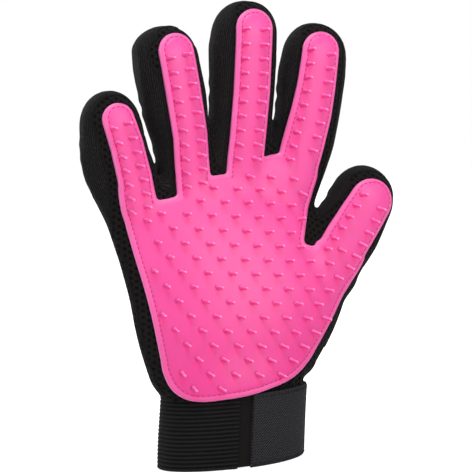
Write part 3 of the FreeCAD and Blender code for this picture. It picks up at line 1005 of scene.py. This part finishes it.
def pink_rubber():
    """Satin silicone, with painted light and shade: painted shade toward the wrist, painted light on the
    flange, a painted highlight on the rim and on the lit side of the nubs, painted shade on their far side
    and in streaks below them, and a painted glow in that shade.
    """
    item, tree, shader = material("pink_rubber")
    vector, parts = coordinate(tree, "rest_mm")
    mottling = noise(tree, vector, 0.05)
    upper = tint(tree, mottling, (0.90, 0.070, 0.350), (0.94, 0.090, 0.380))
    # Painted shade: the colour deepens toward the wrist, where the light falls off.
    painted_shade_to_wrist = fade(tree, parts[2], 30.0, 110.0, 0.75, 0.0)
    colour = tint(tree, painted_shade_to_wrist, upper, (0.81, 0.027, 0.272))
    inset = node(tree, "ShaderNodeAttribute", attribute_name="inset").outputs["Fac"]
    # Painted light: a paler flange between the outline and the stitches, and a painted highlight along the
    # rim.
    painted_flange_light = fade(tree, inset, 2.0, 3.2, 0.16, 0.0)
    painted_rim_highlight = fade(tree, inset, 0.5, 1.0, 0.35, 0.0)
    # Painted light and shade from the stored shade: a painted highlight on the side of the nubs facing the
    # key light, painted shade on the side turned away and in the painted shadow streaks below them.
    shade = node(tree, "ShaderNodeAttribute", attribute_name="shade").outputs["Fac"]
    lit = math_node(tree, "MAXIMUM", shade, 0.0)
    unlit = times(tree, math_node(tree, "MINIMUM", shade, 0.0), -0.9)
    painted_light = plus(tree, plus(tree, painted_flange_light, painted_rim_highlight), times(tree, lit, 1.1))
    with_painted_light = tint(tree, painted_light, colour, (1.0, 0.34, 0.70))
    with_painted_shade = tint(tree, unlit, with_painted_light, (0.93, 0.018, 0.24))
    tree.links.new(with_painted_shade, shader.inputs["Base Color"])
    bump(tree, shader, noise(tree, vector, 1.6, 2.0), 0.25, 0.25)
    finish_shader(shader, 0.38, specular=0.6)
    # The subsurface weight follows the painted light and shade.
    scatter = scaled(tree, math_node(tree, "ABSOLUTE", shade), 0.6, 0.2)
    tree.links.new(scatter, shader.inputs["Subsurface Weight"])
    shader.inputs["Subsurface Radius"].default_value = (3.0 * MM, 0.9 * MM, 1.5 * MM)
    shader.inputs["Subsurface Scale"].default_value = 1.0
    # Painted glow: the shaded side of the nubs and the shadow streaks emit pink, standing in for light
    # bounced between the pink surfaces.
    shader.inputs["Emission Color"].default_value = (1.0, 0.02, 0.25, 1)
    tree.links.new(times(tree, unlit, 0.22), shader.inputs["Emission Strength"])
    return item


def air_mesh():
    """Spacer mesh: staggered round holes in a fuzzy black knit."""
    item, tree, shader = material("air_mesh")
    vector, parts = coordinate(tree, "rest_mm")
    holes = None
    for shift in (0.0, 0.5):
        squares = []
        for axis, size in ((0, MESH_PITCH), (2, MESH_PITCH * MESH_SQUEEZE)):
            cells = scaled(tree, parts[axis], 1 / size, shift + CELLS_ASIDE)
            away = math_node(tree, "SUBTRACT", math_node(tree, "FRACT", cells), 0.5)
            squares.append(math_node(tree, "POWER", times(tree, away, size), 2.0))
        distance = math_node(tree, "SQRT", plus(tree, *squares))
        holes = distance if holes is None else math_node(tree, "MINIMUM", holes, distance)
    edge = plus(tree, holes, times(tree, noise(tree, vector, 0.5), 0.9))
    cover = fade(tree, edge, 0.95, 1.65, 0.0, 1.0)
    fuzz = noise(tree, vector, 2.4, 4.0)
    thread = tint(tree, fuzz, (0.003, 0.0025, 0.0025), (0.018, 0.015, 0.0145))
    tree.links.new(tint(tree, cover, (0.002, 0.002, 0.002), thread), shader.inputs["Base Color"])
    bump(tree, shader, plus(tree, times(tree, cover, 2.0), fuzz), 0.7, 0.45)
    finish_shader(shader, 0.9, sheen=0.03, specular=0.1)
    return item


def side_knit():
    """Fine warp knit: ribs that run along the digits, with broken loops."""
    item, tree, shader = material("side_knit")
    vector, parts = coordinate(tree, "cloth")
    bent = plus(tree, parts[0], times(tree, noise(tree, vector, 0.9, 2.0), 0.9))
    rib = wave(tree, bent, 0.85)
    loop = wave(tree, parts[1], 1.1)
    streak = node(tree, "ShaderNodeMapping")
    streak.inputs["Scale"].default_value = (2.4, 0.7, 1.0)
    tree.links.new(vector, streak.inputs["Vector"])
    uneven = math_node(tree, "POWER", noise(tree, streak.outputs[0], 1.0, 3.0), 2.0)
    broad = noise(tree, vector, 0.07, 2.0)
    height = plus(tree, times(tree, rib, 0.8), times(tree, loop, 0.25))
    height = plus(tree, height, times(tree, uneven, 0.9))
    shade = times(tree, times(tree, rib, uneven), plus(tree, broad, 0.6))
    colour = tint(tree, shade, (0.002, 0.0018, 0.0019), (0.055, 0.049, 0.048))
    tree.links.new(colour, shader.inputs["Base Color"])
    bump(tree, shader, height, 0.7, 0.32)
    finish_shader(shader, 0.85, sheen=0.05, specular=0.12)
    return item


def ribbed_elastic():
    """Woven elastic, lighter along the crest of each rib."""
    item, tree, shader = material("ribbed_elastic")
    vector, parts = coordinate(tree, "cloth")
    cord = wave(tree, parts[0], 0.8)
    ridge = wave(tree, parts[1], CUFF_HEIGHT / ELASTIC_RIBS, -math.pi / 2)
    fine = noise(tree, vector, 1.4, 3.0)
    crest = times(tree, math_node(tree, "POWER", ridge, 1.6), fine)
    shade = times(tree, plus(tree, cord, 1.0), crest)
    colour = tint(tree, shade, (0.0012, 0.0012, 0.0012), (0.016, 0.0155, 0.0155))
    tree.links.new(colour, shader.inputs["Base Color"])
    bump(tree, shader, plus(tree, cord, fine), 0.5, 0.18)
    finish_shader(shader, 0.8, sheen=0.03, specular=0.15)
    return item


def twill_tape():
    """Diagonal twill of the tab's backing, slightly greyer than the knit."""
    item, tree, shader = material("twill_tape")
    vector, parts = coordinate(tree, "cloth")
    twill = wave(tree, math_node(tree, "SUBTRACT", parts[0], parts[1]), 1.55)
    row = wave(tree, parts[1], 1.3)
    fine = math_node(tree, "POWER", noise(tree, vector, 0.9, 4.0), 2.0)
    pattern = times(tree, twill, scaled(tree, row, 0.5, 0.5))
    shade = times(tree, pattern, scaled(tree, fine, 2.6, 0.5))
    colour = tint(tree, shade, (0.003, 0.003, 0.004), (0.046, 0.046, 0.051))
    tree.links.new(colour, shader.inputs["Base Color"])
    bump(tree, shader, plus(tree, pattern, fine), 0.6, 0.2)
    finish_shader(shader, 0.8, sheen=0.03, specular=0.15)
    return item


def fuzzy(name, dark, light, scale, roughness=0.95, sheen=0.03):
    """Loops, hooks, lining and thread: a plain colour with a rough nap."""
    item, tree, shader = material(name)
    vector, _ = coordinate(tree, "rest_mm")
    nap = noise(tree, vector, scale, 4.0)
    tree.links.new(tint(tree, nap, dark, light), shader.inputs["Base Color"])
    bump(tree, shader, nap, 0.6, 0.3)
    finish_shader(shader, roughness, sheen=sheen, specular=0.2)
    return item


RUBBER = pink_rubber()
MESH = air_mesh()
KNIT = side_knit()
ELASTIC = ribbed_elastic()
TWILL = twill_tape()
LOOPS = fuzzy("loop_tape", (0.003, 0.003, 0.003), (0.012, 0.010, 0.010), 3.0)
HOOKS = fuzzy("hook_tape", (0.006, 0.006, 0.006), (0.03, 0.03, 0.03), 2.2, roughness=0.5, sheen=0.0)
LINING = fuzzy("lining_cloth", (0.004, 0.004, 0.004), (0.014, 0.013, 0.013), 1.5)
SEAM = fuzzy("seam_thread", (0.002, 0.002, 0.002), (0.009, 0.008, 0.008), 2.0)
THREAD = fuzzy("pink_thread", (0.60, 0.020, 0.16), (0.75, 0.040, 0.22), 3.0, roughness=0.6, sheen=0.1)

# ------------------------------------------------------------- glove building

PANEL_MARGIN_TIP = 4.4
PANEL_MARGIN_SIDE = 1.3
PANEL_MARGIN_PALM = 9.0


def panel_field(field):
    """Negative on the mesh panel, which reaches past the rubber on all sides."""
    x, z = np.meshgrid(GRID_X, GRID_Z, indexing="ij")
    across, _ = np.gradient(field, GRID_STEP)
    beside = smooth_step((-across - 0.55) / 0.35) * smooth_step((x + 38) / 6)
    margin = PANEL_MARGIN_TIP + (PANEL_MARGIN_SIDE - PANEL_MARGIN_TIP) * beside
    return field - margin - (PANEL_MARGIN_PALM - margin) * (1 - smooth_step((z - 96) / 44))


def build_skin(field):
    points, edges, faces = grow_skin()
    normals = point_normals(points, faces)
    points = points + normals * fold_depth(points, normals, field)[:, None]
    panel = panel_field(field)
    inside = sample(panel, points[:, 0], points[:, 2])
    front = normals[:, 1] < 0.25
    groove = np.where(front, np.exp(-(inside / 0.9) ** 2), 0)
    points = points - normals * (0.35 * groove)[:, None]
    normals = point_normals(points, faces)
    normals = unit_rows(relax(normals, edges, 2))
    return points, faces, normals, panel


def cut_skin(points, faces, normals, panel):
    middles = face_middles(points, faces)
    keep = middles[:, 2] > 35.4
    faces = [face for face, k in zip(faces, keep) if k]
    middles = middles[keep]
    owners = owner_of(middles)
    face_normals = np.array([normals[list(face)].mean(0) for face in faces])
    in_front = (sample(panel, middles[:, 0], middles[:, 2]) < 0) & (face_normals[:, 1] < 0.1)
    cloth = {"cloth": cloth_coordinates(points)}
    for chosen, word, paint, slot, side in (
        (in_front, "mesh_front", MESH, "air_mesh", "front"),
        (~in_front, "knit_back", KNIT, "side_knit", "back"),
    ):
        picked = [face for face, k in zip(faces, chosen) if k]
        cut_pieces(points, picked, normals, owners[chosen], word, paint, side, cloth)


def painted_nub_shadows(sheet, feet):
    """Painted shadows: faint darker streaks below each nub, where its shadow falls."""
    share = np.zeros(len(sheet))
    for foot in feet:
        offset = (sheet - foot)[:, [0, 2]]
        along = offset @ NUB_SHADOW_DIRECTION
        across = np.abs(offset @ np.array([-NUB_SHADOW_DIRECTION[1], NUB_SHADOW_DIRECTION[0]]))
        from_middle = (along - NUB_SHADOW_LENGTH / 2) / (NUB_SHADOW_LENGTH / 2)
        streak = np.exp(-(across / NUB_SHADOW_WIDTH) ** 2) * np.exp(-from_middle ** 4)
        share = np.maximum(share, streak)
    return share * NUB_SHADOW_DEPTH


def build_pad(field, rim, web_share, wrap):
    sheet, triangles, depth = pad_sheet(rim, web_share, wrap)
    sheet_normals = point_normals(sheet, triangles)
    nubs = nub_parts(field, wrap)
    nub_points, nub_faces = join_lists(nubs)
    nub_normals = point_normals(nub_points, nub_faces)
    points, faces = join_lists([(sheet, triangles), (nub_points, nub_faces)])
    normals = np.vstack([sheet_normals, nub_normals])
    depth = np.r_[depth, np.full(len(nub_points), 9.0)]
    per_nub = len(nub_points) // len(nubs)
    around = per_nub // PEG_RINGS
    rise = np.tile(np.repeat(np.clip((np.arange(PEG_RINGS) - 1) / 4, 0, 1), around), len(nubs))
    # Painted light on the nubs: a painted highlight on the side facing a light from above, front and the
    # thumb side, growing toward the tips, and painted shade on the side turned away; the sheet gets painted
    # shadow streaks below each nub.
    lit_side = nub_normals @ unit((0.35, -0.45, 0.80))
    shade = np.where(lit_side > 0, (0.25 + 0.75 * rise) * lit_side, lit_side)
    shade = np.r_[-painted_nub_shadows(sheet, nub_points[::per_nub]), shade]
    middles = face_middles(points, triangles)
    owners = list(owner_of(middles))
    for nub, _ in nubs:
        owner = owner_of(np.array(nub).mean(0)[None])[0]
        owners += [owner] * (len(nub_faces) // len(nubs))
    cut_pieces(
        points, faces, normals, np.array(owners), "rubber_pad", RUBBER, "pad",
        {"inset": depth, "shade": shade},
    )


def build_stitches(rim, web_share, wrap):
    by_owner = {}
    for part in stitch_parts(rim, web_share, wrap):
        owner = int(owner_of(np.array(part[0]).mean(0)[None])[0])
        by_owner.setdefault(owner, []).append(part)
    thread_pieces(by_owner, "pad_stitches", THREAD)


def build_seams(panel, wrap):
    """A corded seam where the mesh panel meets the knit."""
    by_owner = {}
    for line in contours(panel, 0.0):
        line = resample(line, 1.2)
        spots, directions = wrap.lay(line)
        fits = (directions[:, 1] < 0.1) & (spots[:, 2] > 38.5) & (spots[:, 1] < 9)
        owners = owner_of(spots)
        run = []
        for k in range(len(line) + 1):
            at = k % len(line)
            close = run and np.linalg.norm(spots[at] - spots[run[-1]]) < 4
            joins = close and owners[at] == owners[run[-1]]
            if run and not (fits[at] and joins and k < len(line)):
                if fits[at] and close:
                    run.append(at)
                if len(run) > 2:
                    owner = int(owners[run[0]])
                    cord = bead(spots[run] + directions[run] * 0.05, directions[run], 0.62, flat=0.7)
                    by_owner.setdefault(owner, []).append(cord)
                run = []
            if fits[at] and k < len(line):
                run.append(at)
    thread_pieces(by_owner, "panel_seam", SEAM)


def thread_pieces(by_owner, word, paint):
    for owner, parts in sorted(by_owner.items()):
        points, faces = join_lists(parts)
        item = mesh_piece(piece_name(owner, word), points, faces)
        store(item, "rest_mm", points)
        item.data.materials.append(paint)
        attach(item, owner)


# ----------------------------------------------------------------------- cuff


def oval_point(turn, height, grow):
    """Point of the leaning cuff: turn 0 is the thumb side, -90 degrees the front."""
    x = (CUFF_WIDE + grow) * math.cos(turn) + height / CUFF_HEIGHT * CUFF_DRIFT
    y = (CUFF_DEEP + grow) * math.sin(turn)
    return x, y, height


def turn_at(across, front=True):
    """Turn of the cuff where it is this far across from its centre."""
    turn = math.acos(max(-1.0, min(1.0, across / CUFF_WIDE)))
    return -turn if front else turn


def cuff_layer(name, turns, heights, outside, inside, closed=False):
    """A band of the cuff between two growths, which may depend on turn, height."""
    rows, columns = len(heights), len(turns)
    points, cloth = [], []
    arc = np.r_[0, np.cumsum([math.dist(oval_point(a, 0, 0)[:2], oval_point(b, 0, 0)[:2])
                              for a, b in zip(turns, turns[1:])])]
    for growth in (outside, inside):
        for height in heights:
            for turn, run in zip(turns, arc):
                points.append(oval_point(turn, height, growth(turn, height)))
                cloth.append((run, height, 0))
    faces = []
    layer = rows * columns
    span = columns if closed else columns - 1
    for r in range(rows - 1):
        for c in range(span):
            n = (c + 1) % columns
            a, b, d, e = r * columns + c, r * columns + n, (r + 1) * columns + n, (r + 1) * columns + c
            faces.append((a, b, d, e))
            faces.append((layer + e, layer + d, layer + b, layer + a))
    for r, flip in ((0, True), (rows - 1, False)):
        for c in range(span):
            n = (c + 1) % columns
            quad = (r * columns + c, r * columns + n, layer + r * columns + n, layer + r * columns + c)
            faces.append(quad[::-1] if flip else quad)
    if not closed:
        for c, flip in ((0, False), (columns - 1, True)):
            for r in range(rows - 1):
                low, high = r * columns + c, (r + 1) * columns + c
                quad = (low, high, layer + high, layer + low)
                faces.append(quad[::-1] if flip else quad)
    item = mesh_piece(name, points, faces)
    store(item, "rest_mm", points)
    store(item, "cloth", cloth)
    return item


def edge_round(height, low, high, radius=0.5):
    """Pulls a band in near its upper and lower edges."""
    near = min(height - low, high - height)
    return -0.45 * (1 - min(1.0, near / radius)) ** 2


def finish_band(item, paint, body, node_name):
    item.data.materials.append(paint)
    harden = item.modifiers.new("edges", "EDGE_SPLIT")
    harden.split_angle = math.radians(55)
    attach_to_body(item, body)
    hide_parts(node_name)


ELASTIC_END = -5.0
TAB_END = 2.0


def build_elastic():
    fine = 8
    heights = np.linspace(0, CUFF_HEIGHT, ELASTIC_RIBS * fine + 1)
    front = turn_at(ELASTIC_END)
    turns = np.linspace(front, front - math.radians(300), 150)
    turns = turns[turns > -2 * math.pi + 0.02]
    hem_turn = math.radians(5.5)

    def outside(turn, height):
        rib = 0.55 * abs(math.sin(math.pi * height / CUFF_HEIGHT * ELASTIC_RIBS)) ** 0.7
        hem = 0.55 * math.exp(-((front - turn) / hem_turn) ** 4)
        wave_up = 0.25 * math.sin(turn * 9) * math.sin(height * 0.12)
        return 0.15 + rib * (1 - 0.4 * hem) + hem + wave_up + edge_round(height, 0, CUFF_HEIGHT)

    item = cuff_layer("cuff_ribbed_elastic", turns, heights, outside, lambda turn, height: -1.2)
    finish_band(item, ELASTIC, "hand", "cuff_elastic")


def build_loop_patch():
    heights = np.linspace(0.4, CUFF_HEIGHT, 24)
    turns = np.linspace(turn_at(ELASTIC_END - 1), 0.0, 60)

    def outside(turn, height):
        fold = 0.25 * math.sin(turn * 60) * math.exp(-((turn - turn_at(-1.5)) / 0.1) ** 2)
        return -0.75 + fold + 0.12 * math.sin(height * 1.9 + turn * 23)

    item = cuff_layer("cuff_loop_tape", turns, heights, outside, lambda turn, height: -1.5)
    finish_band(item, LOOPS, "hand", "cuff_loop_patch")


def build_lining():
    heights = np.linspace(0.2, CUFF_HEIGHT + 2.0, 20)
    turns = np.linspace(0, 2 * math.pi, 120, endpoint=False)
    item = cuff_layer(
        "cuff_inner_lining", turns, heights,
        lambda turn, height: -1.5, lambda turn, height: -2.4, closed=True,
    )
    finish_band(item, LINING, "hand", "cuff_lining")


def tab_lift(turn):
    """How far the tab stands off the cuff: more toward its free end."""
    return 0.25 + 1.3 * min(1.0, -turn / 1.1)


def tab_floor(turn):
    """Lower edge of the tab: straight, with a rounded corner at the far end."""
    away = max(0.0, turn + 0.16) / 0.16
    return 1.1 * away ** 2.5


def build_tab():
    rows = 34
    turns = np.linspace(turn_at(TAB_END), -0.002, 70)
    heights = np.linspace(0, CUFF_HEIGHT, rows)

    def outside(turn, height):
        selvedge = 0.22 * math.exp(-((turn + 0.42) / 0.035) ** 2)
        free_edge = 0.25 * math.exp(-((turn - turn_at(TAB_END)) / 0.03) ** 2)
        swell = 0.25 * math.sin(math.pi * height / CUFF_HEIGHT) * math.sin(3.0 * turn)
        return tab_lift(turn) + swell + free_edge - selvedge + edge_round(height, 0, CUFF_HEIGHT)

    item = cuff_layer("tab_twill_backing", turns, heights, outside, lambda turn, height: -0.5)
    bend_floor(item)
    finish_band(item, TWILL, "strap_tab", "tab_backing")
    hook_turns = np.linspace(turn_at(TAB_END + 2.5), turn_at(CUFF_WIDE * 0.9), 50)
    hook_heights = np.linspace(2.5, CUFF_HEIGHT - 2.5, 20)
    hook = cuff_layer("tab_hook_tape", hook_turns, hook_heights, lambda t, h: -0.5, lambda t, h: -0.7)
    finish_band(hook, HOOKS, "strap_tab", "tab_hook_patch")


def bend_floor(item):
    """Rounds the lower corner of the tab by lifting its bottom edge."""
    for vertex in item.data.vertices:
        height = vertex.co.z / MM
        x = vertex.co.x / MM - height / CUFF_HEIGHT * CUFF_DRIFT
        turn = math.atan2(vertex.co.y / MM / CUFF_DEEP, x / CUFF_WIDE)
        lift = tab_floor(turn) * (1 - height / CUFF_HEIGHT)
        vertex.co.z += lift * MM


def tab_stitches():
    """Thread lines along the upper and lower edges of the tab."""
    parts = []
    for height in (1.6, CUFF_HEIGHT - 1.6):
        turn = turn_at(TAB_END + 1.6)
        while turn < -0.36:
            lift = tab_lift(turn) + 0.15
            spots = [np.array(oval_point(turn + k * 0.011, height, lift)) for k in range(4)]
            normals = [unit((s[0] / CUFF_WIDE ** 2, s[1] / CUFF_DEEP ** 2, 0)) for s in spots]
            parts.append(bead(spots, normals, 0.2))
            turn += 0.06
    points, faces = join_lists(parts)
    item = mesh_piece("tab_stitches", points, faces)
    store(item, "rest_mm", points)
    item.data.materials.append(SEAM)
    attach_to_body(item, "strap_tab")


# ---------------------------------------------------------------------- stage

VIEW_YAW = math.radians(20)
VIEW_RISE = math.radians(3)
VIEW_ROLL = math.radians(-3)
VIEW_DISTANCE = 700.0
VIEW_TARGET = np.array([8.9, 0.0, 116.5])
VIEW_SPAN = 245.44
SENSOR = 36.0


def build_camera():
    level = math.cos(VIEW_RISE)
    ahead = np.array([
        math.sin(VIEW_YAW) * level, math.cos(VIEW_YAW) * level, -math.sin(VIEW_RISE),
    ])
    right = np.array([math.cos(VIEW_YAW), -math.sin(VIEW_YAW), 0.0])
    upward = np.cross(right, ahead)
    c, s = math.cos(VIEW_ROLL), math.sin(VIEW_ROLL)
    right, upward = right * c + upward * s, upward * c - right * s
    place = VIEW_TARGET - ahead * VIEW_DISTANCE
    data = bpy.data.cameras.new("camera")
    data.sensor_width = SENSOR
    data.lens = SENSOR * VIEW_DISTANCE / VIEW_SPAN
    camera = bpy.data.objects.new("camera", data)
    bpy.context.scene.collection.objects.link(camera)
    matrix = Matrix.Identity(4)
    for row in range(3):
        matrix[row][0], matrix[row][1], matrix[row][2] = right[row], upward[row], -ahead[row]
        matrix[row][3] = place[row] * MM
    camera.matrix_world = matrix
    bpy.context.scene.camera = camera


def area_light(name, place, aim, size, power):
    data = bpy.data.lights.new(name, "AREA")
    data.shape = "DISK"
    data.size = size
    data.energy = power
    item = bpy.data.objects.new(name, data)
    bpy.context.scene.collection.objects.link(item)
    item.location = place
    item.rotation_mode = "QUATERNION"
    item.rotation_quaternion = (Vector(aim) - Vector(place)).to_track_quat("-Z", "Y")


def seen_directly(tree, otherwise, seen):
    """A value for camera rays and another one for light bouncing off things."""
    path = node(tree, "ShaderNodeLightPath")
    return scaled(tree, path.outputs["Is Camera Ray"], seen - otherwise, otherwise)


def build_stage():
    white, tree, shader = material("studio_white")
    shader.inputs["Base Color"].default_value = (0.8, 0.8, 0.8, 1)
    shader.inputs["Roughness"].default_value = 0.9
    shader.inputs["Specular IOR Level"].default_value = 0.0
    shader.inputs["Emission Color"].default_value = (1, 1, 1, 1)
    tree.links.new(seen_directly(tree, 0.0, 0.9), shader.inputs["Emission Strength"])
    corners = [(-9000, -9000, -0.4), (9000, -9000, -0.4), (9000, 9000, -0.4), (-9000, 9000, -0.4)]
    floor = mesh_piece("studio_floor", corners, [(0, 1, 2, 3)])
    floor.data.materials.append(white)
    world = bpy.data.worlds.new("studio")
    world.use_nodes = True
    background = world.node_tree.nodes["Background"]
    background.inputs["Color"].default_value = (1, 1, 1, 1)
    world.node_tree.links.new(seen_directly(world.node_tree, 0.48, 1.0), background.inputs["Strength"])
    bpy.context.scene.world = world
    area_light("key_light", (-0.10, -0.42, 0.78), (0, 0, 0.17), 0.5, 3.3)
    area_light("front_light", (0.28, -0.78, 0.24), (0.01, 0, 0.15), 0.35, 1.3)
    area_light("left_light", (-0.8, -0.8, 0.6), (0, 0, 0.14), 0.6, 1.2)
    area_light("rim_light", (-0.5, 0.6, 0.7), (0, 0, 0.15), 0.6, 2.5)
    bpy.context.scene.view_settings.view_transform = "Standard"
    bpy.context.scene.view_settings.look = "None"


# ----------------------------------------------------------------------- main

FIELD = pad_field()
SKIN_POINTS, SKIN_FACES, SKIN_NORMALS, PANEL = build_skin(FIELD)
WRAP = Wrap(SKIN_POINTS, SKIN_FACES, SKIN_NORMALS)
cut_skin(SKIN_POINTS, SKIN_FACES, SKIN_NORMALS, PANEL)
RIM, WEB_SHARE = rim_field(FIELD)
build_pad(FIELD, RIM, WEB_SHARE, WRAP)
build_stitches(RIM, WEB_SHARE, WRAP)
build_seams(PANEL, WRAP)
build_elastic()
build_loop_patch()
build_lining()
build_tab()
tab_stitches()
build_stage()
build_camera()
